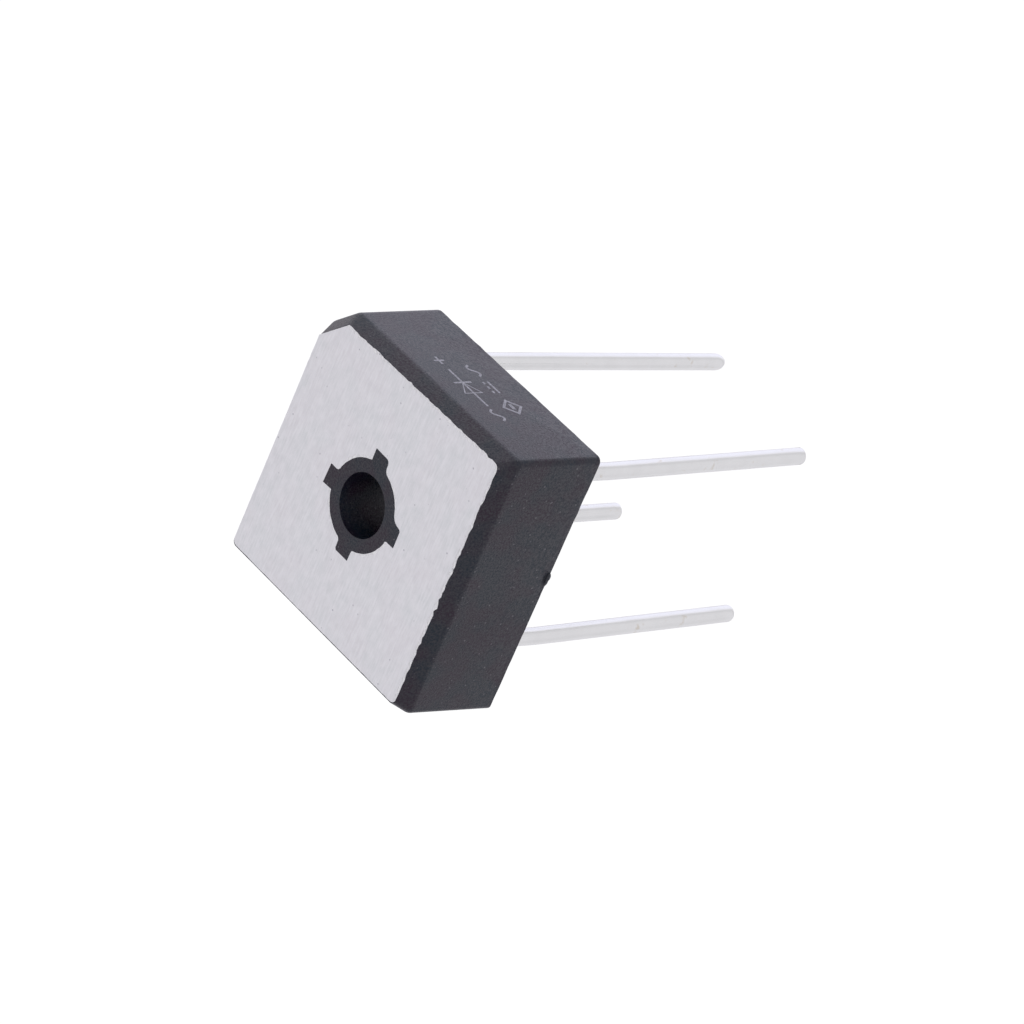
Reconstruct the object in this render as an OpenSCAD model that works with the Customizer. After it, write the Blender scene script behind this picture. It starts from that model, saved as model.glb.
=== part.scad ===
// Square bridge rectifier with a screw hole: a moulded case round an aluminium
// heat-sink plate, four diode dice on copper tabs potted inside, and four round
// wire leads at the corners of a square. Millimetres. The heat-sink face looks
// up, at z = 0, the screw hole's axis is the Z axis, and the leads point down.
// Seen from above, the cut corner and its + lead are at +X -Y, and the marked
// side is -Y.

/* [Case] */
// Side of the square case just under the bevel round the plate
case_w = 18.9; // [17.6:0.1:22]
// Height of the case from the heat-sink face to the rim on the lead side
case_h = 8; // [7:0.1:12]
// How far each side leans out from the bevel down to the rim
case_draft = 0.12; // [0.02:0.01:0.3]
// Radius of the case's upright edges
case_corner_r = 0.4; // [0.2:0.05:1]
// Leg of the case's cut corner
case_clip = 1.85; // [1.2:0.05:2.4]
// Height of the bevel round the plate
bevel_h = 1.2; // [0.8:0.05:1.5]
// Width of the bevel along the sides, seen from above
bevel_w = 0.49; // [0.3:0.01:0.8]
// Width of the bevel along the cut corner
clip_bevel_w = 0.82; // [0.5:0.02:1]
// Radius that softens the edge between the bevel and the sides
bevel_r = 0.8; // [0.3:0.1:1.2]
// Width of the flat rim of plastic beside the plate
rim_land = 0.06; // [0.02:0.01:0.1]
// Thickness of the case wall
wall = 1.2; // [1:0.05:1.3]
// Thickness of the case floor behind the plate
floor_t = 0.6; // [0.4:0.05:0.9]
// Radius of the upright corners inside the case
cavity_r = 0.6; // [0.2:0.05:1]

/* [Heat-sink plate] */
// Thickness of the plate
plate_t = 1.2; // [1:0.05:1.6]
// Radius of the plate's three round corners
plate_corner_r = 0.4; // [0.2:0.05:0.8]

/* [Screw hole] */
// Diameter of the screw hole
bore_d = 4.2; // [3.6:0.1:4.6]
// Diameter of the plastic ring that fills the plate's hole
ring_d = 6.05; // [5.6:0.05:6.6]
// Width of the four lugs round the ring
lug_w = 1.35; // [0.8:0.05:1.8]
// Reach of a lug from the hole's axis
lug_reach = 3.76; // [3.6:0.02:4.2]
// Radius of a lug's two outer corners
lug_corner_r = 0.2; // [0.05:0.05:0.35]
// Radius of the fillets where a lug's sides meet the ring
lug_root_r = 0.3; // [0.1:0.05:0.4]
// Diameter of the tube round the screw hole behind the plate
tube_d = 7.6; // [7:0.1:8.6]

/* [Gate scar] */
// Width of the scar where the moulding gate was broken off the rim
gate_w = 1.2; // [0.8:0.1:2]
// Height of the scar up the side
gate_h = 0.55; // [0.3:0.05:0.8]
// Depth of the hollow that the gate left
gate_depth = 0.2; // [0.1:0.02:0.3]
// How far the broken stub stands out of the hollow
gate_stub = 0.38; // [0.3:0.02:0.5]
// Diameter of the broken stub
gate_stub_d = 0.45; // [0.3:0.05:0.5]
// Offset of the scar from the middle of its side, towards the marked side
gate_offset = 0.3; // [0.1:0.1:2]

/* [Potting] */
// Depth of the potting's surface below the case rim
potting_drop = 0.5; // [0.3:0.05:0.8]
// Height that the potting creeps along each lead
creep_h = 0.25; // [0.1:0.05:0.3]
// Width of that creep round a lead
creep_w = 0.35; // [0.1:0.05:0.4]

/* [Leads] */
// Distance from a side of the case, just under the bevel, to the leads beside it
lead_inset = 3.1; // [2.8:0.05:3.4]
// Diameter of a lead
lead_d = 1.15; // [0.9:0.05:1.25]
// Length of the negative and AC leads past the case rim, along the wire
lead_free = 23.3; // [10:0.1:40]
// Extra length of the + lead
positive_extra = 3.5; // [0.5:0.1:8]
// Length of wire past the rim that is square to the plate
lead_root = 5; // [2:0.5:8]
// How much thicker a lead is where it was bent
bend_swell = 0.02; // [0.01:0.01:0.06]
// Height of the taper at a lead's tip
tip_h = 0.3; // [0.1:0.05:0.5]
// Diameter of the flat at a lead's tip
tip_d = 0.6; // [0.3:0.05:0.8]
// Angle that the + lead leans by past its bend, in degrees
positive_lean_angle = 1.1; // [0.1:0.1:3]
// Compass angle that the + lead leans towards, from +X
positive_turn_angle = 112; // [0:1:359]
// Angle that the first AC lead leans by
ac_1_lean_angle = 1.8; // [0.1:0.1:3]
// Compass angle that the first AC lead leans towards
ac_1_turn_angle = 348; // [0:1:359]
// Angle that the negative lead leans by
negative_lean_angle = 1.7; // [0.1:0.1:3]
// Compass angle that the negative lead leans towards
negative_turn_angle = 302; // [0:1:359]
// Angle that the second AC lead leans by
ac_2_lean_angle = 1; // [0.1:0.1:3]
// Compass angle that the second AC lead leans towards
ac_2_turn_angle = 252; // [0:1:359]
// Diameter of the nail head at a lead's inner end
head_d = 2; // [1.6:0.1:2.4]
// Thickness of the nail head
head_t = 0.4; // [0.2:0.05:0.6]
// Width of the flat-coined shank that anchors a lead in the potting
shank_w = 1.5; // [1.3:0.05:1.7]
// Thickness of the shank
shank_t = 0.7; // [0.5:0.05:0.9]

/* [Tabs] */
// Thickness of a copper tab
tab_t = 0.5; // [0.3:0.05:0.6]
// Width of a tab's two arms
tab_w = 2.8; // [2.6:0.1:3]
// How far a tab's arms run past the middle of the dice
tab_overlap = 1.4; // [1.3:0.05:1.6]
// Clearance from a tab's cut outer corner to a wall that is cut as the case is
tab_clearance = 0.5; // [0.3:0.05:0.8]
// Layer of potting between the case floor and the AC tabs
tab_gap = 0.3; // [0.2:0.05:0.5]

/* [Dice] */
// Side of a diode die
die_w = 2.5; // [2:0.1:2.6]
// Thickness of a die
die_t = 0.28; // [0.2:0.02:0.4]
// Side of the solder layer on each face of a die
solder_w = 2.3; // [1.8:0.1:2.4]
// Thickness of each solder layer
solder_t = 0.1; // [0.06:0.02:0.16]
// Diameter of the solder between a nail head and its tab
joint_d = 2.2; // [1.8:0.1:2.4]

/* [Hidden] */
$fn = 64;
// Overlap that joins two shapes, and how far a cutting shape runs past what it cuts
eps = 0.01;
cut_over = 1;
// Slices that draw the soft edge of the bevel
bevel_steps = 4;

// Half width of a lug, where its outer corners start to round, and the fillets at
// its roots, which end before that place
ring_r = ring_d / 2;
lug_side = lug_w / 2;
lug_tip = lug_reach - lug_corner_r;
root_limit = (lug_tip ^ 2 + lug_side ^ 2 - ring_r ^ 2) / (2 * (ring_r - lug_side));
root_r = max(eps, min(lug_root_r, root_limit));

lead_pitch = case_w - 2 * lead_inset;
half_pitch = lead_pitch / 2;

// Widths of the plastic's face and of the plate, and distances of the cut
// corners from the hole's axis
face_w = case_w - 2 * bevel_w;
plate_w = face_w - 2 * rim_land;
case_cut = (case_w - case_clip) / sqrt(2);
face_cut = case_cut - clip_bevel_w;
plate_cut = face_cut - rim_land;
cavity_cut = case_cut - wall;

// Angles of the bevel and of the sides from upright
bevel_angle = atan(bevel_w / bevel_h);
side_angle = atan(case_draft / (case_h - bevel_h));

// Heights below the heat-sink face, going down
rim_z = -case_h;
floor_top_z = -plate_t;
floor_z = floor_top_z - floor_t;
potting_z = rim_z + potting_drop;
ac_tab_z = floor_z - tab_gap - tab_t;
die_top_z = ac_tab_z - solder_t;
die_z = die_top_z - die_t;
dc_tab_top_z = die_z - solder_t;
dc_tab_z = dc_tab_top_z - tab_t;

// Each lead: name, side of X, side of Y, lean and turn, extra length, face of its tab
LEADS = [
  ["positive", 1, -1, [positive_lean_angle, positive_turn_angle], positive_extra, dc_tab_z],
  ["ac_1", -1, -1, [ac_1_lean_angle, ac_1_turn_angle], 0, ac_tab_z],
  ["negative", -1, 1, [negative_lean_angle, negative_turn_angle], 0, dc_tab_z],
  ["ac_2", 1, 1, [ac_2_lean_angle, ac_2_turn_angle], 0, ac_tab_z]
];

// Each die: name, and its place on the middle of a side of the square of leads
DICE = [
  ["positive_ac_1", 0, -1],
  ["negative_ac_1", -1, 0],
  ["negative_ac_2", 0, 1],
  ["positive_ac_2", 1, 0]
];

// Leg of the cut corner of a square of side w, whose cut is that far from its centre
function cut_leg(w, cut) = w - sqrt(2) * cut;

// Point on the soft edge of the bevel where the surface stands at an angle from
// upright: its height, and how far it lies outside case_w
function bevel_edge(angle) =
  let (
    middle = (bevel_angle + side_angle) / 2,
    reach = bevel_r / cos((bevel_angle - side_angle) / 2)
  )
  [bevel_r * sin(angle) - reach * sin(middle) - bevel_h, bevel_r * cos(angle) - reach * cos(middle)];

// Square with three round corners and one cut corner, at +X -Y
module clipped_square(w, r, cut) {
  h = w / 2;
  clip = cut_leg(w, cut);
  intersection() {
    union() {
      square([w, w - 2 * r], center = true);
      square([w - 2 * r, w], center = true);
      for (x = [-1, 1], y = [-1, 1])
        translate([x * (h - r), y * (h - r)]) circle(r);
    }
    polygon([[-h, -h], [h - clip, -h], [h, clip - h], [h, h], [-h, h]]);
  }
}

// Thin slice of the case's outside, its lower face at height z
module case_slice(z, w, r, cut) {
  translate([0, 0, z]) linear_extrude(eps) clipped_square(w, r, cut, $fn = 32);
}

// Ring with four lugs: the plastic in the plate's hole
module ring_outline() {
  circle(ring_r);
  for (turn = [0:90:270]) rotate(turn) {
    lug_outline();
    lug_root();
    mirror([0, 1, 0]) lug_root();
  }
}

// One lug along +X, with its outer corners rounded
module lug_outline() {
  corner = lug_side - lug_corner_r;
  translate([0, -lug_side]) square([lug_tip, lug_w]);
  translate([0, -corner]) square([lug_reach, 2 * corner]);
  for (y = [-corner, corner]) translate([lug_tip, y]) circle(lug_corner_r);
}

// Fillet between the ring and the +Y side of a lug
module lug_root() {
  along = sqrt((ring_r + root_r) ^ 2 - (lug_side + root_r) ^ 2);
  difference() {
    polygon([[0, 0], [along, lug_side + root_r], [along, lug_side]]);
    translate([along, lug_side + root_r]) circle(root_r);
  }
}

module plate_outline() {
  clipped_square(plate_w, plate_corner_r, plate_cut);
}

module cavity_outline() {
  clipped_square(case_w - 2 * wall, cavity_r, cavity_cut);
}

// Outside of the case: bevel round the plate, soft edge, then sides that lean out
module case_outside() {
  hull() {
    case_slice(-eps, face_w, plate_corner_r + rim_land, face_cut);
    for (i = [0:bevel_steps]) {
      edge = bevel_edge(bevel_angle + (side_angle - bevel_angle) * i / bevel_steps);
      case_slice(edge[0], case_w + 2 * edge[1], case_corner_r, case_cut + edge[1]);
    }
    case_slice(rim_z, case_w + 2 * case_draft, case_corner_r, case_cut + case_draft);
  }
}

// Place on the -X side, at the rim, where the moulding gate was
module at_gate() {
  translate([-case_w / 2 - case_draft, -gate_offset, rim_z]) children();
}

// Shallow hollow left by the gate
module gate_hollow() {
  at_gate() translate([-cut_over, -gate_w / 2, -cut_over])
    cube([cut_over + gate_depth, gate_w, cut_over + gate_h]);
}

// Broken stub of plastic inside the hollow
module gate_stub() {
  at_gate() translate([gate_depth - gate_stub, (gate_stub_d - gate_w) / 2, gate_stub_d / 2 + eps])
    rotate([0, 90, 0]) cylinder(d = gate_stub_d, h = gate_stub + eps);
}

module case() {
  color([0.22, 0.22, 0.23]) difference() {
    union() {
      difference() {
        case_outside();
        translate([0, 0, floor_top_z]) linear_extrude(plate_t + cut_over) plate_outline();
        translate([0, 0, rim_z - cut_over]) linear_extrude(floor_z - rim_z + cut_over) cavity_outline();
        gate_hollow();
      }
      gate_stub();
      translate([0, 0, floor_top_z]) linear_extrude(plate_t) ring_outline();
      translate([0, 0, rim_z]) cylinder(d = tube_d, h = floor_top_z - rim_z);
    }
    translate([0, 0, rim_z - cut_over]) cylinder(d = bore_d, h = case_h + 2 * cut_over);
  }
}

module heat_sink_plate() {
  color([0.81, 0.81, 0.83]) translate([0, 0, floor_top_z]) linear_extrude(plate_t)
    difference() {
      plate_outline();
      ring_outline();
    }
}

// Move to a lead's corner of the square
module at_lead(lead) {
  translate([lead[1] * half_pitch, lead[2] * half_pitch, 0]) children();
}

// Disc of solder between a nail head and its tab
module lead_solder(lead) {
  color([0.7, 0.7, 0.72]) at_lead(lead) translate([0, 0, lead[5] - solder_t])
    cylinder(d = joint_d, h = solder_t);
}

// Nail head and coined shank: the length of a lead that is inside the potting
module lead_anchor(lead) {
  head_top = lead[5] - solder_t;
  translate([0, 0, head_top - head_t]) cylinder(d = head_d, h = head_t);
  translate([-shank_w / 2, -shank_t / 2, potting_z])
    cube([shank_w, shank_t, head_top - head_t - potting_z]);
}

// Straight leg of a lead below its bend, with a tapered tip, pointing down
module lead_leg(length) {
  r = lead_d / 2;
  rotate_extrude() polygon([
    [0, 0], [r, 0], [r, tip_h - length], [tip_d / 2, -length], [0, -length]
  ]);
}

// Free length of a lead: straight root, slight bend, and a leg that leans
module lead_wire(lead) {
  root_z = rim_z - lead_root;
  translate([0, 0, root_z]) {
    cylinder(d = lead_d, h = potting_z - root_z);
    sphere(d = lead_d + bend_swell);
    rotate([0, -lead[3][0], lead[3][1]]) lead_leg(lead_free + lead[4] - lead_root);
  }
}

module lead(lead) {
  color([0.85, 0.85, 0.86]) at_lead(lead) {
    lead_anchor(lead);
    lead_wire(lead);
  }
}

// L-shaped tab at a lead's corner, with an arm to the die on each side of it
module tab(lead) {
  near = half_pitch - tab_w / 2;
  far = half_pitch + tab_w / 2;
  clip = cut_leg(2 * far, cavity_cut - tab_clearance);
  color([0.78, 0.48, 0.32])
    mirror([lead[1] < 0 ? 1 : 0, 0, 0]) mirror([0, lead[2] < 0 ? 1 : 0, 0])
      translate([0, 0, lead[5]]) linear_extrude(tab_t) polygon([
        [-tab_overlap, near], [-tab_overlap, far], [far - clip, far],
        [far, far - clip], [far, -tab_overlap], [near, -tab_overlap], [near, near]
      ]);
}

// Square layer of side w and thickness t on a die's place, its lower face at z
module layer(place, w, t, z) {
  translate([place[1] * half_pitch, place[2] * half_pitch, z + t / 2])
    cube([w, w, t], center = true);
}

module die(place) {
  color([0.3, 0.32, 0.36]) layer(place, die_w, die_t, die_z);
}

// Solder between a die and its AC tab
module ac_solder(place) {
  color([0.7, 0.7, 0.72]) layer(place, solder_w, solder_t, die_top_z);
}

// Solder between a die and its positive or negative tab
module dc_solder(place) {
  color([0.7, 0.7, 0.72]) layer(place, solder_w, solder_t, dc_tab_top_z);
}

// Everything that the potting has flowed round
module potted_parts() {
  for (l = LEADS) {
    at_lead(l) lead_anchor(l);
    lead_solder(l);
    tab(l);
  }
  for (d = DICE) {
    die(d);
    ac_solder(d);
    dc_solder(d);
  }
}

// Cone of potting that has crept along a lead, less the lead itself
module lead_creep() {
  translate([0, 0, potting_z - creep_h]) difference() {
    cylinder(d1 = lead_d + 2 * eps, d2 = lead_d + 2 * creep_w, h = creep_h);
    translate([0, 0, -eps]) cylinder(d = lead_d, h = creep_h + 2 * eps);
  }
}

module potting() {
  color([0.12, 0.12, 0.13]) {
    difference() {
      translate([0, 0, potting_z]) linear_extrude(floor_z - potting_z) cavity_outline();
      translate([0, 0, rim_z]) cylinder(d = tube_d, h = case_h);
      potted_parts();
    }
    for (l = LEADS) at_lead(l) lead_creep();
  }
}

case();
heat_sink_plate();
potting();
for (l = LEADS) {
  lead(l);
  tab(l);
  lead_solder(l);
}
for (d = DICE) {
  die(d);
  ac_solder(d);
  dc_solder(d);
}
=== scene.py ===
import math
from contextlib import contextmanager

import bmesh
import bpy
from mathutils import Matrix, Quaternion, Vector
from mathutils.geometry import intersect_point_line


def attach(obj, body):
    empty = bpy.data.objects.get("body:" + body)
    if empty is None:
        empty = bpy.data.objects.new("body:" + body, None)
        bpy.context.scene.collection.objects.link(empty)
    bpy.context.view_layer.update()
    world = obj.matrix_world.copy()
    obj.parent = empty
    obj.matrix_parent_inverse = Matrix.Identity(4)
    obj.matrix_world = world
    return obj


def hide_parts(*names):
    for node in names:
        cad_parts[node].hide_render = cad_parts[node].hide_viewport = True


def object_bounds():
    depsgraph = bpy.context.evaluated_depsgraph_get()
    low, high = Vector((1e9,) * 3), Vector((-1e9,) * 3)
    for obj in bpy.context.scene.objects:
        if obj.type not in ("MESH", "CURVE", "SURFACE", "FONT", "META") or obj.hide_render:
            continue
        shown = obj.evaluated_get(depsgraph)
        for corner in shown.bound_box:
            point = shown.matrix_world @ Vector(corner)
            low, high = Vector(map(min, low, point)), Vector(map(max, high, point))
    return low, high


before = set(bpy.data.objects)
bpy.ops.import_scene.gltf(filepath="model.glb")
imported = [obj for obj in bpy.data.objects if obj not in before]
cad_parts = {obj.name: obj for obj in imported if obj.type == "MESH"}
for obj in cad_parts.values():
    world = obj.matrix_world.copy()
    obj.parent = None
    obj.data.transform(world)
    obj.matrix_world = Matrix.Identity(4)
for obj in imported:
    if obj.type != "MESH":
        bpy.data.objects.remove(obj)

cad_low, cad_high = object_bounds()

# Pieces are modelled in millimetres, in the part's frame, and scaled to metres when they are done
MM = 0.001

# How near two numbers have to be to count as equal, and how near to 1 the cosine of a direction that
# counts as straight or as level
SLACK = 0.002
STRAIGHT = 0.99
LEVEL = 0.999

# How far a cutting tool stands past what it cuts, and how far joined pieces run into each other
MARGIN = 1
SINK = 0.1

# Sides of the large round forms and of the wires, and the angle up to which faces shade as one
ROUND_SIDES = 96
WIRE_SIDES = 40
SMOOTH_ANGLE = 30

# Case
CASE_W = 18.9
CASE_DRAFT = 0.12
CASE_CORNER_R = 0.4
CASE_CLIP = 1.85
RIM_Z = -8.0
BEVEL_H = 1.2
BEVEL_W = 0.49
CLIP_BEVEL_W = 0.82
BEVEL_SOFT = 0.18
CUT_SOFT = 0.28
RIM_LAND = 0.06
WALL = 1.2
FLOOR_T = 0.6
CAVITY_R = 0.6
CASE_CUT = (CASE_W - CASE_CLIP) / math.sqrt(2)
FACE_W = CASE_W - 2 * BEVEL_W
FACE_CUT = CASE_CUT - CLIP_BEVEL_W
CAVITY_W = CASE_W - 2 * WALL
CAVITY_CUT = CASE_CUT - WALL

# Uneven rim: how far its edges stray, in bits of what length, and the strip of wall cut with them.
# The sides lean out a little less than the solid's, to leave room for it.
RIM_JITTER = 0.03
RIM_STEP = 0.6
RIM_STRIP = 0.25
RIM_SEED = 3
SOLID_SLOPE = CASE_DRAFT / (-RIM_Z - BEVEL_H)
SIDE_SLOPE = (CASE_DRAFT - RIM_JITTER) / (-RIM_Z - BEVEL_H)

# Plate, and how far the plastic's face lies below it and runs in under its edge
PLATE_W = FACE_W - 2 * RIM_LAND
PLATE_T = 1.2
PLATE_CORNER_R = 0.4
PLATE_CUT = FACE_CUT - RIM_LAND
FLUSH_GAP = 0.008
UNDERLAP = 0.15
EDGE_UNDERLAP = 0.2
OVERHANG = 0.03
FLOOR_Z = -PLATE_T - FLOOR_T

# Ragged edges of the plate: how far they stray, in bits of what length, and the strip cut with them.
# The first list has each edge's seed, axis, side and share of the straying, and the second one has
# the axis, side and reach of the edges that are then drawn out.
EDGE_JITTER = 0.11
EDGE_STEP = 0.29
EDGE_STRIP = 0.1
RAGGED_EDGES = [(1, 0, -1, 1), (2, 1, -1, 0.7), (3, 0, 1, 0.2), (4, 1, 1, 0.2)]
DRAWN_EDGES = [(0, 1, RIM_LAND), (0, -1, OVERHANG), (1, -1, OVERHANG)]

# Screw hole, and each lug round it: turn, the radii of its outer corners, and those of its roots.
# An outer corner without a radius was punched sharp, and stands out a little.
BORE_R = 2.1
RING_R = 3.025
TUBE_R = 3.8
LUG_W = 1.35
LUG_START = 1.5
LUG_REACH = 3.76
LUGS = [
    (0, (0, 0.10), (0.15, 0.20)),
    (90, (0.03, 0.22), (0.12, 0.25)),
    (180, (0.25, 0.04), (0.60, 0.12)),
    (270, (0, 0.32), (0.12, 0.35)),
]
FLARE = 0.09
ROOT_ZONE = 0.05

# Uneven edge of the hole in the plate: how far it strays, how far out it reaches, and the seed.
# Its points are drawn in order of their distance from a place off the hole's lines of symmetry.
HOLE_JITTER = 0.025
HOLE_ZONE = LUG_REACH + 0.3
HOLE_SEED = 5
HOLE_DRAW_PLACE = (2, 1, 0)

# Scar on the -X side, where the gate was broken off the rim, as hollows and lumps of torn plastic:
# name, operation, place along the rim, height above it, radii
GATE_SCAR = [
    ("gate_hollow", "DIFFERENCE", -0.42, 0.29, (0.10, 0.66, 0.22)),
    ("gate_graze", "DIFFERENCE", 0.25, 0.17, (0.05, 0.50, 0.12)),
    ("gate_lip", "UNION", -0.74, 0.09, (0.16, 0.30, 0.13)),
    ("gate_rag", "UNION", -0.42, 0.07, (0.09, 0.33, 0.10)),
]
GATE_JITTER = 0.02

# Planes that cut the wall round the scar, as places and directions, so that its shading stays there
GATE_PATCH = [((0, -1.3, 0), (0, 1, 0)), ((0, 0.95, 0), (0, 1, 0)), ((0, 0, RIM_Z + 0.65), (0, 0, 1))]

# Potting: its level, the widths and falls of the meniscus along the walls, and the creep up the leads
POTTING_Z = RIM_Z + 0.5
MENISCUS = [(0.12, 0.05), (0.15, 0.03), (0.25, 0.015)]
CREEP_H = 0.25
CREEP_W = 0.35
CREEP_STEPS = 6
CREEP_EDGE = 0.01
CREEP_SINK = 0.2

# Leads: node, place, lean and its direction, length past the rim, roundness of the tip, seed
LEAD_R = 0.575
HALF_PITCH = 6.35
LEAD_ROOT = 5.0
LEAD_CUTS = 24
LEAD_JITTER = 0.008
TIP_CUTS = 8
TIP_END = 0.05
LEADS = [
    ("lead_positive", 1, -1, 1.1, 112, 26.8, 1.6, 3),
    ("lead_ac_1", -1, -1, 1.8, 348, 23.3, 0.4, 1),
    ("lead_negative", -1, 1, 1.7, 302, 23.3, 0.8, 5),
    ("lead_ac_2", 1, 1, 1.0, 252, 23.3, 0.6, 7),
]

# Etched signs on the -Y side: their height, width and strokes, and where they stand in two rows
SIGN_H = 1.45
SIGN_W = 1.3
STROKE = 0.17
BRIDGE_STROKE = 1.5 * STROKE
STROKE_FLATNESS = 0.12
SINE_POINTS = 16
SINE_SWING = 0.2 * SIGN_H
NEAR_ROW_Z = -3.4
PLUS_X = 1.9
DIODE_X = -1.2
NEAR_SINE_X = -4.3
FAR_ROW_Z = -5.3
FAR_SINE_X = 0.6
DIRECT_X = -1.3
BRIDGE_X = -3.5

# Places on the case that differ, as centres and radii: the rounder corner of the bevel, the +Y end
# of the -X side, where a thinner coat paints shade, and the torn plastic of the scar
HIP_SPOT = ((-CASE_W / 2 + 0.35, -CASE_W / 2 + 0.35, -BEVEL_H), (0.6, 0.6, 0.6))
PAINTED_SHADE_SPOT = ((-CASE_W / 2, 7, -4.5), (2, 7, 7))
TORN_SPOT = ((-CASE_W / 2 - CASE_DRAFT, -0.45, RIM_Z + 0.2), (0.4, 0.8, 0.36))

# Colours, in pairs where a noise goes from one to the other
COMPOUND = ((0.0, 0.0085, 0.018, 1), (0.0135, 0.002, 0.0135, 1))
COMPOUND_GRAIN = (0.011, 0.0105, 0.0165, 1)
CHALK = (0.15, 0.15, 0.16, 1)
FILLING = ((0.004, 0.004, 0.005, 1), (0.009, 0.009, 0.011, 1))
ALUMINIUM = ((0.815, 0.83, 0.83, 1), (0.84, 0.825, 0.835, 1))
BRIGHT_STROKE = (0.955, 0.95, 0.955, 1)
# Near-white flecks of the plate's burr: painted highlight, brighter than the bare metal
BURR_GLINT = (1.0, 1.0, 0.98, 1)
PIT = (0.6, 0.6, 0.62, 1)
FLASH = (0.25, 0.25, 0.25, 1)
TIN = ((0.76, 0.765, 0.74, 1), (0.83, 0.835, 0.81, 1))
STAIN = (0.70, 0.66, 0.58, 1)
ETCHED = ((0.23, 0.23, 0.265, 1), (0.5, 0.5, 0.56, 1))
COPPER = ((0.62, 0.3, 0.18, 1), (0.75, 0.4, 0.25, 1))
SOLDER = ((0.45, 0.45, 0.47, 1), (0.6, 0.6, 0.62, 1))
SILICON = ((0.06, 0.065, 0.08, 1), (0.1, 0.105, 0.12, 1))
WHITE = (1, 1, 1, 1)

# Studio: its plain level, then each light or dark field's direction, the cosines at which it starts
# and is full, and what it adds. Round the heart of the lit sheet the light is a little bluer.
STUDIO_LEVEL = 0.87
SHEET_WAY = (0.776, -0.263, -0.574)
HEART_WAY = (0.58, -0.43, -0.69)
STUDIO_FIELDS = {
    "top": ((0.58, 0.43, 0.69), 0.2, 0.8, -0.17),
    "dim_side": ((-0.8, 0.55, -0.1), 0.7, 1.0, -0.27),
    "sheet_border": (SHEET_WAY, 0.30, 0.42, -0.1),
    "sheet": (SHEET_WAY, 0.60, 0.68, 0.22),
    "heart": (HEART_WAY, 0.80, 0.97, 0.15),
    "flag": ((0.93, 0.07, -0.36), 0.85, 0.97, -0.3),
}
STUDIO_TINT = ((1.0, 0.985, 1.05, 1), (0.96, 0.955, 1.10, 1))

# Floor, in metres across: its tone under the lights, and its glow and share of it in the camera's eye
FLOOR_SIZE = 6
FLOOR_TONE = (0.85, 0.85, 0.85, 1)
FLOOR_GLOW = 1.14
FLOOR_GLOW_SHARE = 0.8

# Camera: the photograph's own viewpoint, as a turn round the point that it looks at
CAMERA_TARGET = (-5.742, -3.108, -6.707)
CAMERA_AZIMUTH = -53.753
CAMERA_ELEVATION = 43.964
CAMERA_DISTANCE = 314.433
CAMERA_ROLL = -92.975
CAMERA_LENS = 177.38
SENSOR_W = 36
CLIP_START = 0.01


def activate(obj):
    bpy.ops.object.select_all(action="DESELECT")
    obj.select_set(True)
    bpy.context.view_layer.objects.active = obj


@contextmanager
def editing(obj):
    activate(obj)
    bpy.ops.object.mode_set(mode="EDIT")
    yield
    bpy.ops.object.mode_set(mode="OBJECT")


def middle(item):
    """The middle of an edge or face."""
    return sum((v.co for v in item.verts), Vector()) / len(item.verts)


def place_key(place):
    """Sorts places the same way whatever order a mesh lists them in."""
    return [round(c, 2) for c in place]


def near(a, b, slack=SLACK):
    return abs(a - b) < slack


def upright(edge):
    along = edge.verts[1].co - edge.verts[0].co
    return abs(along.z) > STRAIGHT * along.length


def pick(obj, kind, test):
    """In edit mode, selects just the vertices, edges or faces that pass the test."""
    bpy.ops.mesh.select_mode(type=kind)
    bpy.ops.mesh.select_all(action="DESELECT")
    mesh = bmesh.from_edit_mesh(obj.data)
    items = {"VERT": mesh.verts, "EDGE": mesh.edges, "FACE": mesh.faces}[kind]
    for item in items:
        if test(item):
            item.select_set(True)
    bmesh.update_edit_mesh(obj.data)


def apply_all(obj):
    activate(obj)
    for modifier in list(obj.modifiers):
        bpy.ops.object.modifier_apply(modifier=modifier.name)


def combine(obj, tool, operation):
    """Adds the tool to obj or cuts it away, and uses the tool up."""
    boolean = obj.modifiers.new(operation.lower(), "BOOLEAN")
    boolean.operation = operation
    boolean.solver = "EXACT"
    boolean.object = tool
    apply_all(obj)
    bpy.data.objects.remove(tool)


def box(name, low, high):
    size = [b - a for a, b in zip(low, high)]
    bpy.ops.mesh.primitive_cube_add(size=1, location=[(a + b) / 2 for a, b in zip(low, high)])
    made = bpy.context.object
    made.name = name
    made.scale = size
    bpy.ops.object.transform_apply()
    return made


def lump(name, centre, radii, jitter, seed):
    """Rounded lump with an uneven surface, as broken plastic has."""
    bpy.ops.mesh.primitive_uv_sphere_add(segments=24, ring_count=12, radius=1, location=centre)
    made = bpy.context.object
    made.name = name
    made.scale = radii
    bpy.ops.object.transform_apply()
    with editing(made):
        bpy.ops.mesh.select_all(action="SELECT")
        bpy.ops.transform.vertex_random(offset=jitter, seed=seed)
        bpy.ops.mesh.quads_convert_to_tris()
    return made


def cylinder(name, radius, top, bottom, sides=ROUND_SIDES):
    bpy.ops.mesh.primitive_cylinder_add(
        vertices=sides, radius=radius, depth=top - bottom, location=(0, 0, (top + bottom) / 2)
    )
    made = bpy.context.object
    made.name = name
    bpy.ops.object.transform_apply()
    return made


def cut_leg(width, cut):
    """Leg of the cut corner of a square whose cut lies that far from the axis."""
    return width - math.sqrt(2) * cut


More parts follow.
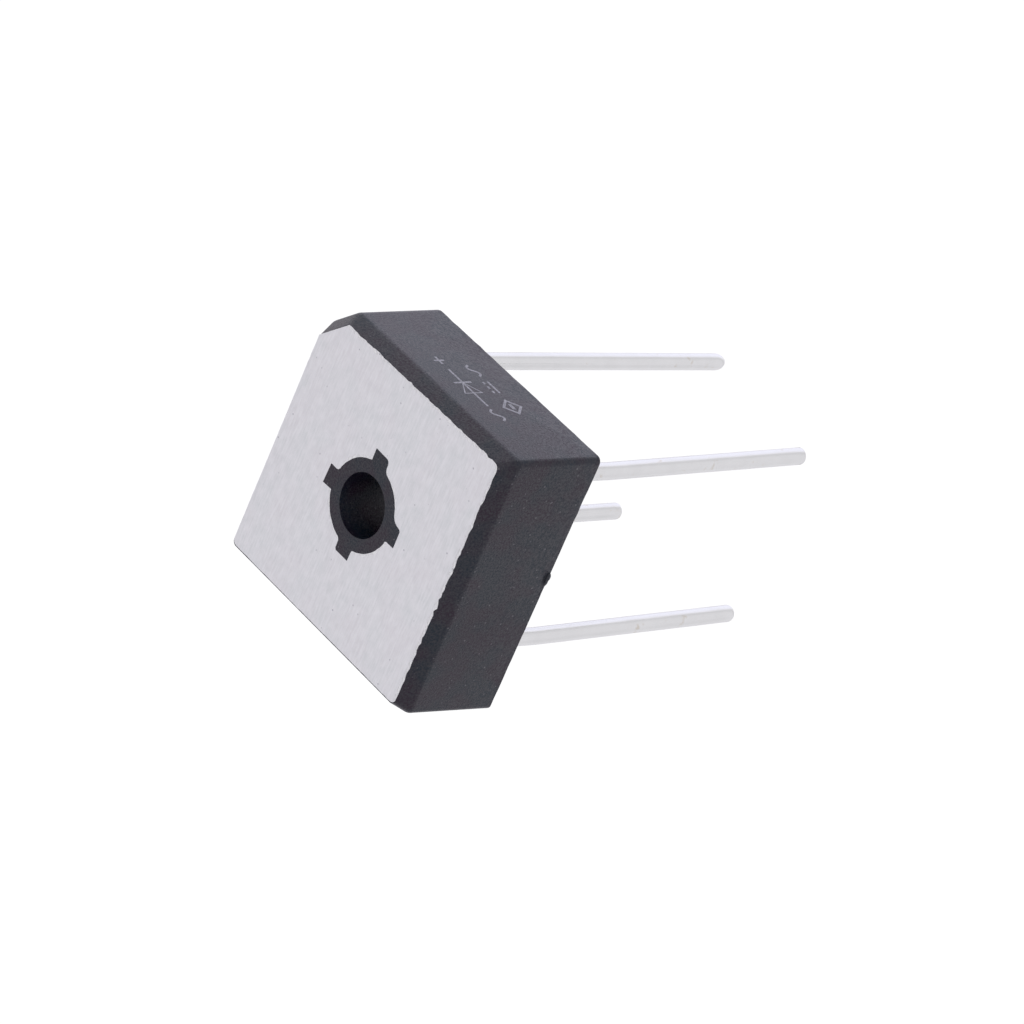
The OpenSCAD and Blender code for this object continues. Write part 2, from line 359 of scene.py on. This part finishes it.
def clipped_block(name, width, top, bottom, corner_r, cut):
    """Square block with three round upright edges and one cut one, at +X -Y."""
    half = width / 2
    block = box(name, (-half, -half, bottom), (half, half, top))
    with editing(block):
        pick(block, "EDGE", lambda e: upright(e) and middle(e).x > 0 > middle(e).y)
        bpy.ops.mesh.bevel(offset=cut_leg(width, cut), segments=1, affect="EDGES")
        pick(
            block,
            "EDGE",
            lambda e: upright(e) and near(abs(middle(e).x), half) and near(abs(middle(e).y), half),
        )
        bpy.ops.mesh.bevel(offset=corner_r, segments=6, affect="EDGES")
    return block


def jitter_level(place, jitter, seed):
    """Moves the selected vertices a little in the place's level, in order of their distance from it."""
    bpy.context.scene.cursor.location = place
    bpy.ops.mesh.sort_elements(type="CURSOR_DISTANCE", elements={"VERT"})
    bpy.ops.transform.vertex_random(offset=jitter, seed=seed)
    bpy.ops.transform.resize(value=(1, 1, 0), center_override=place)


def jitter_edges(obj, test, step, jitter, strip, seed):
    """Makes level edges uneven in their plane: each is cut short, with the one a strip away from it."""
    edges = [e for e in bmesh.from_edit_mesh(obj.data).edges if test(e)]
    ends = [sorted([v.co.copy() for v in e.verts], key=place_key) for e in edges]
    for i, (start, end) in enumerate(sorted(ends, key=lambda pair: place_key(pair[0] + pair[1]))):
        here = (start + end) / 2
        places = (here, here + Vector((0, 0, strip)))
        pick(
            obj,
            "EDGE",
            lambda e: e.calc_length() > step
            and min((middle(e) - p).length for p in places) < 10 * SLACK,
        )
        bpy.ops.mesh.subdivide(number_cuts=round((end - start).length / step) - 1)

        def on_edge(vert):
            foot, share = intersect_point_line(vert.co, start, end)
            return (vert.co - foot).length < SLACK / 2 and SLACK < share < 1 - SLACK

        pick(obj, "VERT", on_edge)
        jitter_level(start, jitter, seed + i)


def by_cut(edge):
    """Whether a rising edge is one of the two beside the cut corner."""
    along = edge.verts[1].co - edge.verts[0].co
    turn = math.degrees(edge.calc_face_angle(0))
    return abs(along.z) > 0.5 * along.length and 25 < turn < 65


def case_body():
    """Outside of the case: sides that lean out to the rim, and a bevel round the plate."""
    case = clipped_block("moulded_case", CASE_W, -BEVEL_H, RIM_Z, CASE_CORNER_R, CASE_CUT)
    spread = 1 + 2 * (CASE_DRAFT - RIM_JITTER) / CASE_W
    shrink = FACE_W / CASE_W
    face_leg = cut_leg(FACE_W, FACE_CUT)
    slide = face_leg - shrink * CASE_CLIP
    half = FACE_W / 2

    def on_face(vert):
        return near(vert.co.z, -FLUSH_GAP)

    with editing(case):
        pick(case, "FACE", lambda f: near(middle(f).z, RIM_Z))
        bpy.ops.transform.resize(value=(spread, spread, 1), center_override=(0, 0, RIM_Z))
        pick(case, "FACE", lambda f: near(middle(f).z, -BEVEL_H))
        bpy.ops.mesh.extrude_region_move(
            TRANSFORM_OT_translate={"value": (0, 0, BEVEL_H - FLUSH_GAP)}
        )
        bpy.ops.transform.resize(value=(shrink, shrink, 1), center_override=(0, 0, 0))
        pick(
            case,
            "VERT",
            lambda v: on_face(v) and near(v.co.x, half) and v.co.y < -half + face_leg,
        )
        bpy.ops.transform.translate(value=(0, slide, 0))
        pick(
            case,
            "VERT",
            lambda v: on_face(v) and near(v.co.y, -half) and v.co.x > half - face_leg,
        )
        bpy.ops.transform.translate(value=(-slide, 0, 0))
        pick(case, "EDGE", lambda e: all(near(v.co.z, -BEVEL_H) for v in e.verts))
        bpy.ops.mesh.bevel(offset=BEVEL_SOFT, segments=5, affect="EDGES")
        pick(case, "EDGE", by_cut)
        bpy.ops.mesh.bevel(offset=CUT_SOFT, segments=4, affect="EDGES")
        bpy.ops.mesh.select_all(action="SELECT")
        bpy.ops.mesh.bisect(plane_co=(0, 0, RIM_Z + RIM_STRIP), plane_no=(0, 0, 1))
    return case


def lug_ring(name, top, bottom, grow=0.0):
    """Ring with four lugs, as the punched hole in the plate has them."""
    ring = cylinder(name, RING_R + grow, top, bottom)
    side_y = LUG_W / 2 + grow
    for turn, corners, _ in LUGS:
        lug = box("lug", (LUG_START, -side_y, bottom), (LUG_REACH + grow, side_y, top))
        with editing(lug):
            for side, radius in zip((1, -1), corners):
                pick(
                    lug,
                    "EDGE",
                    lambda e: upright(e) and middle(e).x > RING_R and middle(e).y * side > 0,
                )
                if radius:
                    bpy.ops.mesh.bevel(offset=radius, segments=4, affect="EDGES")
                else:
                    bpy.ops.transform.translate(value=(FLARE / 2, side * FLARE, 0))
        lug.rotation_euler.z = math.radians(turn)
        bpy.ops.object.transform_apply()
        combine(ring, lug, "UNION")
    root_x = math.sqrt((RING_R + grow) ** 2 - side_y ** 2)
    with editing(ring):
        for turn, _, roots in LUGS:
            for side, radius in zip((1, -1), roots):
                root = Quaternion((0, 0, 1), math.radians(turn)) @ Vector((root_x, side * side_y, 0))
                soften_root(ring, root, radius)
    return ring


def soften_root(ring, root, radius):
    """Rounds the upright edge where a lug meets the ring."""

    def gap(edge):
        return (middle(edge) - root).xy.length

    def on_ring(edge):
        return middle(edge).xy.length < root.xy.length + ROOT_ZONE

    pick(ring, "EDGE", lambda e: upright(e) and on_ring(e) and ROOT_ZONE < gap(e) < radius * 1.1)
    bpy.ops.mesh.dissolve_edges(use_verts=True)
    pick(ring, "EDGE", lambda e: upright(e) and gap(e) < ROOT_ZONE)
    bpy.ops.mesh.bevel(offset=radius, segments=5, affect="EDGES", clamp_overlap=True)


def scar_gate(case):
    """Hollow and torn lip left on the rim where the moulding gate was."""
    with editing(case):
        for place, normal in GATE_PATCH:
            pick(case, "FACE", lambda f: min(f.normal.x, f.normal.z) < -STRAIGHT)
            bpy.ops.mesh.bisect(plane_co=place, plane_no=normal)
    for seed, (name, operation, y, height, radii) in enumerate(GATE_SCAR):
        side_x = -CASE_W / 2 - SOLID_SLOPE * (-RIM_Z - height - BEVEL_H)
        torn = lump(name, (side_x, y, RIM_Z + height), radii, GATE_JITTER, seed)
        combine(case, torn, operation)


def on_rim(edge):
    """Whether an edge runs along the outside of the rim, away from its corners and the gate's scar."""
    place = middle(edge)
    outside = max(abs(place.x), abs(place.y)) > CASE_W / 2
    return outside and all(near(v.co.z, RIM_Z) for v in edge.verts) and edge.calc_length() > 1


def make_case():
    """Case with the plate's pocket, the open cavity, the tube and ring of the hole, and the scar."""
    case = case_body()
    pocket = clipped_block(
        "pocket",
        PLATE_W - 2 * EDGE_UNDERLAP,
        MARGIN,
        -PLATE_T,
        PLATE_CORNER_R,
        PLATE_CUT - EDGE_UNDERLAP,
    )
    combine(case, pocket, "DIFFERENCE")
    cavity = clipped_block("cavity", CAVITY_W, FLOOR_Z, RIM_Z - MARGIN, CAVITY_R, CAVITY_CUT)
    combine(case, cavity, "DIFFERENCE")
    combine(case, cylinder("tube", TUBE_R, -PLATE_T - SINK, RIM_Z), "UNION")
    combine(case, lug_ring("ring", -FLUSH_GAP, -PLATE_T - SINK, UNDERLAP), "UNION")
    combine(case, cylinder("bore", BORE_R, MARGIN, RIM_Z - MARGIN), "DIFFERENCE")
    scar_gate(case)
    with editing(case):
        jitter_edges(case, on_rim, RIM_STEP, RIM_JITTER, RIM_STRIP, RIM_SEED)
    return case


def make_plate():
    """Plate whose edges are a little ragged, and whose +X edge the plastic leaves bare."""
    plate = clipped_block("face_plate", PLATE_W, 0, -PLATE_T, PLATE_CORNER_R, PLATE_CUT)
    half = PLATE_W / 2
    combine(plate, lug_ring("hole", MARGIN, -PLATE_T - MARGIN), "DIFFERENCE")
    with editing(plate):
        pick(plate, "VERT", lambda v: v.co.xy.length < HOLE_ZONE and near(v.co.z, 0))
        jitter_level(Vector(HOLE_DRAW_PLACE), HOLE_JITTER, HOLE_SEED)
        bpy.ops.mesh.select_all(action="SELECT")
        bpy.ops.mesh.bisect(plane_co=(0, 0, -EDGE_STRIP), plane_no=(0, 0, 1))
        for seed, axis, side, share in RAGGED_EDGES:
            jitter_edges(
                plate,
                lambda e: all(near(v.co[axis], side * half) and near(v.co.z, 0) for v in e.verts),
                EDGE_STEP,
                share * EDGE_JITTER,
                -EDGE_STRIP,
                seed,
            )
        for axis, side, reach in DRAWN_EDGES:
            pick(
                plate,
                "VERT",
                lambda v: near(v.co[axis], side * half, 2 * EDGE_JITTER) and near(v.co.z, 0),
            )
            shift = Vector()
            shift[axis] = side * reach
            bpy.ops.transform.translate(value=shift)
    return plate


def move_to_lead(obj, side_x, side_y):
    """Puts an object that was made round the hole's axis at a lead's place."""
    obj.location = (side_x * HALF_PITCH, side_y * HALF_PITCH, 0)
    activate(obj)
    bpy.ops.object.transform_apply()


def make_potting():
    """Cast filling, drawn up a little along the walls, the tube and the leads."""
    potting = clipped_block("potting_fill", CAVITY_W, FLOOR_Z, POTTING_Z, CAVITY_R, CAVITY_CUT)
    combine(potting, cylinder("tube_place", TUBE_R, 0, RIM_Z - MARGIN), "DIFFERENCE")
    with editing(potting):
        for width, fall in MENISCUS:
            pick(potting, "FACE", lambda f: f.normal.z < -LEVEL)
            bpy.ops.mesh.inset(thickness=width, depth=-fall)
    for _, side_x, side_y, *_ in LEADS:
        creep = cylinder(
            "creep", LEAD_R + CREEP_W, POTTING_Z + CREEP_SINK, POTTING_Z - CREEP_EDGE, WIRE_SIDES
        )
        with editing(creep):
            pick(creep, "FACE", lambda f: f.normal.z < -LEVEL)
            for i in range(CREEP_STEPS):
                here, there = (LEAD_R + CREEP_W * (1 - k / CREEP_STEPS) ** 2 for k in (i, i + 1))
                bpy.ops.mesh.extrude_region_move(
                    TRANSFORM_OT_translate={"value": (0, 0, -CREEP_H / CREEP_STEPS)}
                )
                shrink = max(there, LEAD_R + CREEP_EDGE) / here
                bpy.ops.transform.resize(value=(shrink, shrink, 1), center_override=(0, 0, 0))
        move_to_lead(creep, side_x, side_y)
        combine(potting, creep, "UNION")
    return potting


def make_lead(name, side_x, side_y, lean, turn, free, roundness, seed):
    """Round wire: a straight root, a leg that leans a little, and a domed tip."""
    lead = cylinder(name + "_wire", LEAD_R, POTTING_Z, RIM_Z - LEAD_ROOT, WIRE_SIDES)
    lean, turn = math.radians(lean), math.radians(turn)
    along = Vector(
        (math.sin(lean) * math.cos(turn), math.sin(lean) * math.sin(turn), -math.cos(lean))
    )
    tip = LEAD_R * roundness
    shaft = free - LEAD_ROOT - tip
    with editing(lead):
        pick(lead, "FACE", lambda f: near(middle(f).z, RIM_Z - LEAD_ROOT))
        for _ in range(LEAD_CUTS):
            bpy.ops.mesh.extrude_region_move(
                TRANSFORM_OT_translate={"value": along * (shaft / LEAD_CUTS)}
            )
        centre = Vector((0, 0, RIM_Z - LEAD_ROOT)) + along * shaft
        for i in range(TIP_CUTS):
            turns = [math.pi / 2 * k / TIP_CUTS for k in (i, i + 1)]
            here, there = (math.sin(angle) for angle in turns)
            wide, narrow = (math.cos(angle) for angle in turns)
            bpy.ops.mesh.extrude_region_move(
                TRANSFORM_OT_translate={"value": along * (tip * (there - here))}
            )
            shrink = max(narrow, TIP_END) / wide
            bpy.ops.transform.resize(
                value=(shrink, shrink, shrink), center_override=centre + along * tip * there
            )
        pick(lead, "VERT", lambda v: v.co.z < RIM_Z - LEAD_ROOT)
        bpy.ops.transform.vertex_random(offset=LEAD_JITTER, seed=seed)
    move_to_lead(lead, side_x, side_y)
    return lead


def sine_sign(x, z):
    """Points of the sign for alternating current."""
    shares = [i / SINE_POINTS for i in range(SINE_POINTS + 1)]
    return [
        (x - SIGN_W / 2 + SIGN_W * share, z - SINE_SWING * math.sin(2 * math.pi * share))
        for share in shares
    ]


def diode_strokes():
    """Row by the bevel: a plus, a diode that leads to it, and the sign for alternating current."""
    z, half = NEAR_ROW_Z, SIGN_H / 2
    arm, wire, depth = 0.42, 2.1, 0.6
    bar_x, base_x = DIODE_X + depth, DIODE_X - depth
    return [
        [(PLUS_X - arm, z), (PLUS_X + arm, z)],
        [(PLUS_X, z - arm), (PLUS_X, z + arm)],
        [(DIODE_X - wire, z), (DIODE_X + wire, z)],
        [(base_x, z - half), (bar_x, z), (base_x, z + half), (base_x, z - half)],
        [(bar_x, z - half), (bar_x, z + half)],
        sine_sign(NEAR_SINE_X, z),
    ]


def current_strokes():
    """Row by the rim: the signs for alternating and for direct current."""
    line_z, dash_z = FAR_ROW_Z - 0.2, FAR_ROW_Z + 0.22
    half, half_dash, pitch = SIGN_W / 2, 0.13, 0.5
    dashes = [
        [(x - half_dash, dash_z), (x + half_dash, dash_z)]
        for x in (DIRECT_X - pitch, DIRECT_X, DIRECT_X + pitch)
    ]
    line = [(DIRECT_X - half, line_z), (DIRECT_X + half, line_z)]
    return [sine_sign(FAR_SINE_X, FAR_ROW_Z), line, *dashes]


def bridge_strokes():
    """The diamond that stands for a bridge, with a bar in it."""
    x, z = BRIDGE_X, FAR_ROW_Z
    half, half_bar = SIGN_H / 2, 0.3
    diamond = [(x - half, z), (x, z - half), (x + half, z), (x, z + half), (x - half, z)]
    return [diamond, [(x - half_bar, z), (x + half_bar, z)]]


def sign_bar(points, width):
    """Round bar along a stroke's points, which is closed where they end at their start."""
    curve = bpy.data.curves.new("stroke", "CURVE")
    curve.dimensions = "3D"
    curve.bevel_depth = width / 2
    curve.bevel_resolution = 2
    curve.use_fill_caps = True
    spline = curve.splines.new("POLY")
    if points[0] == points[-1]:
        points = points[:-1]
        spline.use_cyclic_u = True
    spline.points.add(len(points) - 1)
    for point, (x, z) in zip(spline.points, points):
        point.co = (x, 0, z, 1)
    bar = bpy.data.objects.new("stroke", curve)
    bpy.context.collection.objects.link(bar)
    activate(bar)
    bpy.ops.object.convert(target="MESH")
    return bar


def make_signs():
    """Thin etched strokes that lie on the leaning -Y side."""
    bars = [sign_bar(points, STROKE) for points in diode_strokes() + current_strokes()]
    bars += [sign_bar(points, BRIDGE_STROKE) for points in bridge_strokes()]
    activate(bars[0])
    for bar in bars:
        bar.select_set(True)
    bpy.ops.object.join()
    signs = bpy.context.object
    signs.name = "etched_signs"
    side_y = -CASE_W / 2 - SIDE_SLOPE * (-NEAR_ROW_Z - BEVEL_H)
    with editing(signs):
        bpy.ops.mesh.select_all(action="SELECT")
        bpy.ops.mesh.remove_doubles(threshold=SLACK / 2)
        bpy.ops.transform.resize(value=(1, STROKE_FLATNESS, 1), center_override=(0, 0, 0))
        bpy.ops.transform.rotate(
            value=math.atan(SIDE_SLOPE), orient_axis="X", center_override=(0, 0, NEAR_ROW_Z)
        )
        bpy.ops.transform.translate(value=(0, side_y, 0))
    return signs


class Wire:
    """An output of a shader node. Python's operators on it add Math nodes."""

    def __init__(self, socket):
        self.socket = socket

    def add(self, kind, settings, inputs, output=0):
        """A new node with its settings, and its inputs as numbers, colours or wires."""
        tree = self.socket.id_data
        node = tree.nodes.new(kind)
        for name, value in settings.items():
            setattr(node, name, value)
        for key, value in inputs.items():
            if isinstance(value, Wire):
                tree.links.new(value.socket, node.inputs[key])
            else:
                node.inputs[key].default_value = value
        return Wire(node.outputs[output])

    def math(self, operation, *values):
        return self.add("ShaderNodeMath", {"operation": operation}, dict(enumerate(values)))

    def __add__(self, other):
        return self.math("ADD", self, other)

    def __radd__(self, other):
        return self.math("ADD", other, self)

    def __sub__(self, other):
        return self.math("SUBTRACT", self, other)

    def __rsub__(self, other):
        return self.math("SUBTRACT", other, self)

    def __mul__(self, other):
        return self.math("MULTIPLY", self, other)

    def __rmul__(self, other):
        return self.math("MULTIPLY", other, self)

    def size(self):
        return self.math("ABSOLUTE", self)

    def planar(self):
        return self.stretched(1, 1, 0)

    def length(self):
        return self.add("ShaderNodeVectorMath", {"operation": "LENGTH"}, {0: self}, output="Value")

    def least(self, other):
        return self.math("MINIMUM", self, other)

    def most(self, other):
        return self.math("MAXIMUM", self, other)

    def rise(self, low, high):
        """0 below low and 1 above high, with a smooth step between them."""
        return self.add(
            "ShaderNodeMapRange",
            {"interpolation_type": "SMOOTHSTEP"},
            {"Value": self, "From Min": low, "From Max": high},
        )

    def blend(self, colour_0, colour_1):
        """The first colour where this is 0, and the second where it is 1."""
        return self.add(
            "ShaderNodeMix", {"data_type": "RGBA"}, {0: self, 6: colour_0, 7: colour_1}, output=2
        )

    def facing(self, direction):
        """How far this vector points along a direction, as a cosine."""
        unit = tuple(Vector(direction).normalized())
        return self.add(
            "ShaderNodeVectorMath", {"operation": "DOT_PRODUCT"}, {0: self, 1: unit}, output="Value"
        )

    def part(self, axis):
        return self.add("ShaderNodeSeparateXYZ", {}, {"Vector": self}, output=axis)

    def stretched(self, x, y, z):
        return self.add("ShaderNodeMapping", {}, {"Vector": self, "Scale": (x, y, z)})

    def noise(self, scale, detail=2.0, roughness=0.5):
        return self.add(
            "ShaderNodeTexNoise",
            {},
            {"Vector": self, "Scale": scale, "Detail": detail, "Roughness": roughness},
        )

    def specks(self, scale, radius, share):
        """1 inside small round specks, at most one in each cell, in a share of the cells."""
        cells = self.add("ShaderNodeTexVoronoi", {}, {"Vector": self, "Scale": scale})
        chosen = Wire(cells.socket.node.outputs["Color"]).part("X").rise(1 - share, 1.01 - share)
        return chosen * (1 - cells.rise(0.6 * radius * scale, radius * scale))

    def spot(self, centre, radii):
        """1 inside an ellipsoid round the centre, with a soft border."""
        scale = [1 / r for r in radii]
        shift = [-c / r for c, r in zip(centre, radii)]
        there = self.add("ShaderNodeMapping", {}, {"Vector": self, "Location": shift, "Scale": scale})
        return 1 - there.length().rise(0.6, 1.1)

    def bump(self, strength, distance):
        return self.add(
            "ShaderNodeBump",
            {},
            {"Height": self, "Strength": strength, "Distance": distance * MM},
            output="Normal",
        )


def start_material(name, **constants):
    """A Principled material, its shader node, and the piece's own millimetres as a wire."""
    made = bpy.data.materials.new(name)
    made.use_nodes = True
    shader = made.node_tree.nodes["Principled BSDF"]
    for key, value in constants.items():
        shader.inputs[key.replace("_", " ")].default_value = value
    place = Wire(made.node_tree.nodes.new("ShaderNodeTexCoord").outputs["Object"])
    return made, shader, place.stretched(1 / MM, 1 / MM, 1 / MM)


def plug(shader, **wires):
    for key, wire in wires.items():
        shader.id_data.links.new(wire.socket, shader.inputs[key.replace("_", " ")])


def moulded_epoxy():
    """Charcoal moulding compound: fine grain, faint clouds, pale specks, smoother corners, and painted
    shade as a thinner coat towards the +Y end of the -X side.
    """
    made, shader, place = start_material(
        "moulded_epoxy", IOR=1.38, Coat_IOR=1.5, Coat_Roughness=0.35
    )
    cloud = place.noise(0.45, 3)
    grain = place.noise(7.5, 3, 0.7)
    specks = place.specks(1.7, 0.075, 0.35).most(place.specks(3.3, 0.045, 0.2)) * grain
    reach = place.part("X").size() + place.part("Y").size() + 2 * SOLID_SLOPE * place.part("Z")
    corner = reach.rise(CASE_W - 0.55, CASE_W - 0.28)
    smooth = corner.most(place.spot(*HIP_SPOT))
    # Painted shade: the coat thins towards the +Y end of the -X side, so that end renders darker
    painted_shade = place.spot(*PAINTED_SHADE_SPOT)
    torn = place.spot(*TORN_SPOT)
    tint = cloud.rise(0.38, 0.62).blend(*COMPOUND)
    sparkle = grain.rise(0.32, 0.68)
    body = sparkle.blend(tint, COMPOUND_GRAIN)
    plug(
        shader,
        Base_Color=(specks + 0.15 * torn).least(1).blend(body, CHALK),
        Roughness=0.28 + 0.2 * grain,
        Coat_Weight=(0.07 + 0.62 * sparkle) * (1 - 0.45 * smooth) * (1 - 0.25 * painted_shade),
        Normal=(grain + 0.5 * specks).bump(0.8, 0.04),
    )
    return made


def cast_epoxy():
    """Darker, smoother filling."""
    made, shader, place = start_material("cast_epoxy")
    swirl = place.noise(0.5, 3)
    plug(
        shader,
        Base_Color=swirl.blend(*FILLING),
        Roughness=0.2 + 0.25 * swirl,
        Normal=swirl.bump(0.4, 0.1),
    )
    return made


def brushed_plate():
    """Satin aluminium: strokes along Y, pits, and a flecked burr on the -X and -Y edges and the hole,
    whose near-white flecks are a painted highlight.
    """
    made, shader, place = start_material("brushed_plate", Metallic=1.0)
    strokes = place.stretched(6, 0.6, 1).noise(1.2, 4, 0.65)
    cloud = place.noise(0.35, 3)
    haze = place.noise(1.4, 4, 0.6)
    pits = place.specks(1.3, 0.08, 0.6) * haze.rise(0.4, 0.6)
    edge = (place.part("X") + PLATE_W / 2).least(place.part("Y") + PLATE_W / 2)
    flecks = place.noise(3.5, 3, 0.7)
    hole = (place.planar().length() - RING_R).size()
    # Burr along the -X and -Y edges and the hole: the raised burr is real, in the bump, and its
    # near-white flecks are painted highlight
    burr_and_glint = (1 - edge.least(hole).rise(0.08, 0.22)) * flecks.rise(0.48, 0.58)
    flash = (1 - edge.rise(0.02, 0.10)) * (1 - flecks.rise(0.34, 0.41))
    tone = (0.6 * strokes + 0.4 * haze).rise(0.3, 0.7)
    clean = tone.blend(cloud.rise(0.35, 0.65).blend(*ALUMINIUM), BRIGHT_STROKE)
    marks_and_glint = pits.blend(burr_and_glint.blend(clean, BURR_GLINT), PIT)
    plug(
        shader,
        Base_Color=flash.blend(marks_and_glint, FLASH),
        Roughness=0.32 + 0.12 * strokes,
        Normal=(strokes + 20 * burr_and_glint - 2 * pits).bump(0.35, 0.008),
    )
    return made


def tinned_wire():
    """Drawn wire with a bright tin coat and a few brownish stains."""
    made, shader, place = start_material("tinned_wire", Metallic=1.0)
    drawn = place.stretched(3, 3, 0.15).noise(2, 3, 0.6)
    cloud = place.noise(0.9, 3)
    stain = place.noise(1.3, 4, 0.7).rise(0.60, 0.74)
    plug(
        shader,
        Base_Color=stain.blend(cloud.blend(*TIN), STAIN),
        Roughness=0.16 + 0.14 * drawn,
        Normal=(drawn + cloud).bump(0.25, 0.015),
    )
    return made


def etched_grey():
    """Pale, uneven grey that a laser leaves on the moulding compound."""
    made, shader, place = start_material("etched_grey")
    scorch = place.noise(6, 3, 0.7)
    plug(
        shader,
        Base_Color=scorch.rise(0.3, 0.7).blend(*ETCHED),
        Roughness=0.6 + 0.3 * scorch,
    )
    return made


def plain_metal(name, dark, light, roughness):
    """Metal of the sealed pieces, with a faint grain."""
    made, shader, place = start_material(name, Metallic=1.0)
    grain = place.noise(3, 3)
    plug(shader, Base_Color=grain.blend(dark, light), Roughness=roughness + 0.15 * grain)
    return made


def polished_silicon():
    """Dark blue-grey of a diode's die."""
    made, shader, place = start_material("polished_silicon", Metallic=0.6)
    grain = place.noise(2, 2)
    plug(
        shader,
        Base_Color=grain.blend(*SILICON),
        Roughness=0.2 + 0.1 * grain,
    )
    return made


def finish_piece(piece, material, slot, *nodes):
    """Takes a piece to metres, gives it its finish and puts it on the part."""
    activate(piece)
    piece.scale = (MM, MM, MM)
    bpy.ops.object.transform_apply()
    bpy.ops.object.shade_smooth_by_angle(angle=math.radians(SMOOTH_ANGLE))
    piece.data.materials.clear()
    piece.data.materials.append(material)
    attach(piece, "root")
    if nodes:
        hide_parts(*nodes)


def place_camera():
    """Camera that looks back at its target from the photograph's viewpoint."""
    azimuth, elevation = math.radians(CAMERA_AZIMUTH), math.radians(CAMERA_ELEVATION)
    back = Vector(
        (
            math.sin(azimuth) * math.cos(elevation),
            -math.cos(azimuth) * math.cos(elevation),
            math.sin(elevation),
        )
    )
    bpy.ops.object.camera_add(location=(Vector(CAMERA_TARGET) + back * CAMERA_DISTANCE) * MM)
    camera = bpy.context.object
    camera.rotation_mode = "QUATERNION"
    level = (-back).to_track_quat("-Z", "Y")
    camera.rotation_quaternion = level @ Quaternion((0, 0, 1), math.radians(CAMERA_ROLL))
    camera.data.sensor_width = SENSOR_W
    camera.data.lens = CAMERA_LENS
    camera.data.clip_start = CLIP_START
    bpy.context.scene.camera = camera


def light_world():
    """White studio: a large lit sheet towards +X -Y with a dark flag, a dimmer top and -X side."""
    world = bpy.data.worlds.new("studio")
    world.use_nodes = True
    bpy.context.scene.world = world
    nodes = world.node_tree.nodes
    way = Wire(nodes.new("ShaderNodeTexCoord").outputs["Generated"])
    level = STUDIO_LEVEL
    for direction, start, full, gain in STUDIO_FIELDS.values():
        level = level + gain * way.facing(direction).rise(start, full)
    _, start, full, _ = STUDIO_FIELDS["heart"]
    tint = way.facing(HEART_WAY).rise(start, full).blend(*STUDIO_TINT)
    seen = Wire(nodes.new("ShaderNodeLightPath").outputs["Is Camera Ray"])
    backdrop = seen.blend(tint, WHITE)
    background = nodes["Background"]
    world.node_tree.links.new(backdrop.socket, background.inputs["Color"])
    world.node_tree.links.new(level.most(seen).socket, background.inputs["Strength"])


def lay_floor():
    """Pale floor at the tip of the longest lead. It is near white, and clear from below."""
    bpy.ops.mesh.primitive_plane_add(size=FLOOR_SIZE, location=(0, 0, cad_low.z))
    floor = bpy.context.object
    floor.name = "floor"
    made = bpy.data.materials.new("floor_white")
    made.use_nodes = True
    tree = made.node_tree
    tree.nodes.clear()
    path = tree.nodes.new("ShaderNodeLightPath")
    seen, mirrored, through = (
        Wire(path.outputs[name]) for name in ("Is Camera Ray", "Is Glossy Ray", "Is Transmission Ray")
    )
    matt = seen.add("ShaderNodeBsdfDiffuse", {}, {"Color": FLOOR_TONE})
    white = seen.add("ShaderNodeEmission", {}, {"Strength": FLOOR_GLOW})
    below = Wire(tree.nodes.new("ShaderNodeNewGeometry").outputs["Backfacing"])
    clear = seen.add("ShaderNodeBsdfTransparent", {}, {})
    for_camera = seen.add("ShaderNodeMixShader", {}, {0: seen * FLOOR_GLOW_SHARE, 1: matt, 2: white})
    unseen = mirrored.most(through).most(below)
    whole = seen.add("ShaderNodeMixShader", {}, {0: unseen, 1: for_camera, 2: clear})
    output = tree.nodes.new("ShaderNodeOutputMaterial")
    tree.links.new(whole.socket, output.inputs["Surface"])
    floor.data.materials.append(made)


def paint_nodes(prefixes, material):
    """Gives a material to the CAD nodes whose names start so."""
    for name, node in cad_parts.items():
        if name.startswith(prefixes):
            node.data.materials.clear()
            node.data.materials.append(material)


place_camera()
light_world()
lay_floor()

epoxy = moulded_epoxy()
filling = cast_epoxy()
plate_metal = brushed_plate()
tin = tinned_wire()
paint_nodes(("case",), epoxy)
paint_nodes(("potting",), filling)
paint_nodes(("heat_sink_plate",), plate_metal)
paint_nodes(("lead_",), tin)
paint_nodes(("tab_",), plain_metal("bare_copper", *COPPER, roughness=0.3))
# The solder on the leads' heads starts with lead_ too, so it comes after the leads
solder = plain_metal("dull_solder", *SOLDER, roughness=0.35)
paint_nodes(("lead_solder_", "ac_solder_", "dc_solder_"), solder)
paint_nodes(("die_",), polished_silicon())

finish_piece(make_case(), epoxy, "case", "case")
finish_piece(make_plate(), plate_metal, "plate", "heat_sink_plate")
finish_piece(make_potting(), filling, "potting", "potting")
finish_piece(make_signs(), etched_grey(), "case")
for lead in LEADS:
    finish_piece(make_lead(*lead), tin, "lead", lead[0])

bpy.context.scene.view_settings.view_transform = "Standard"
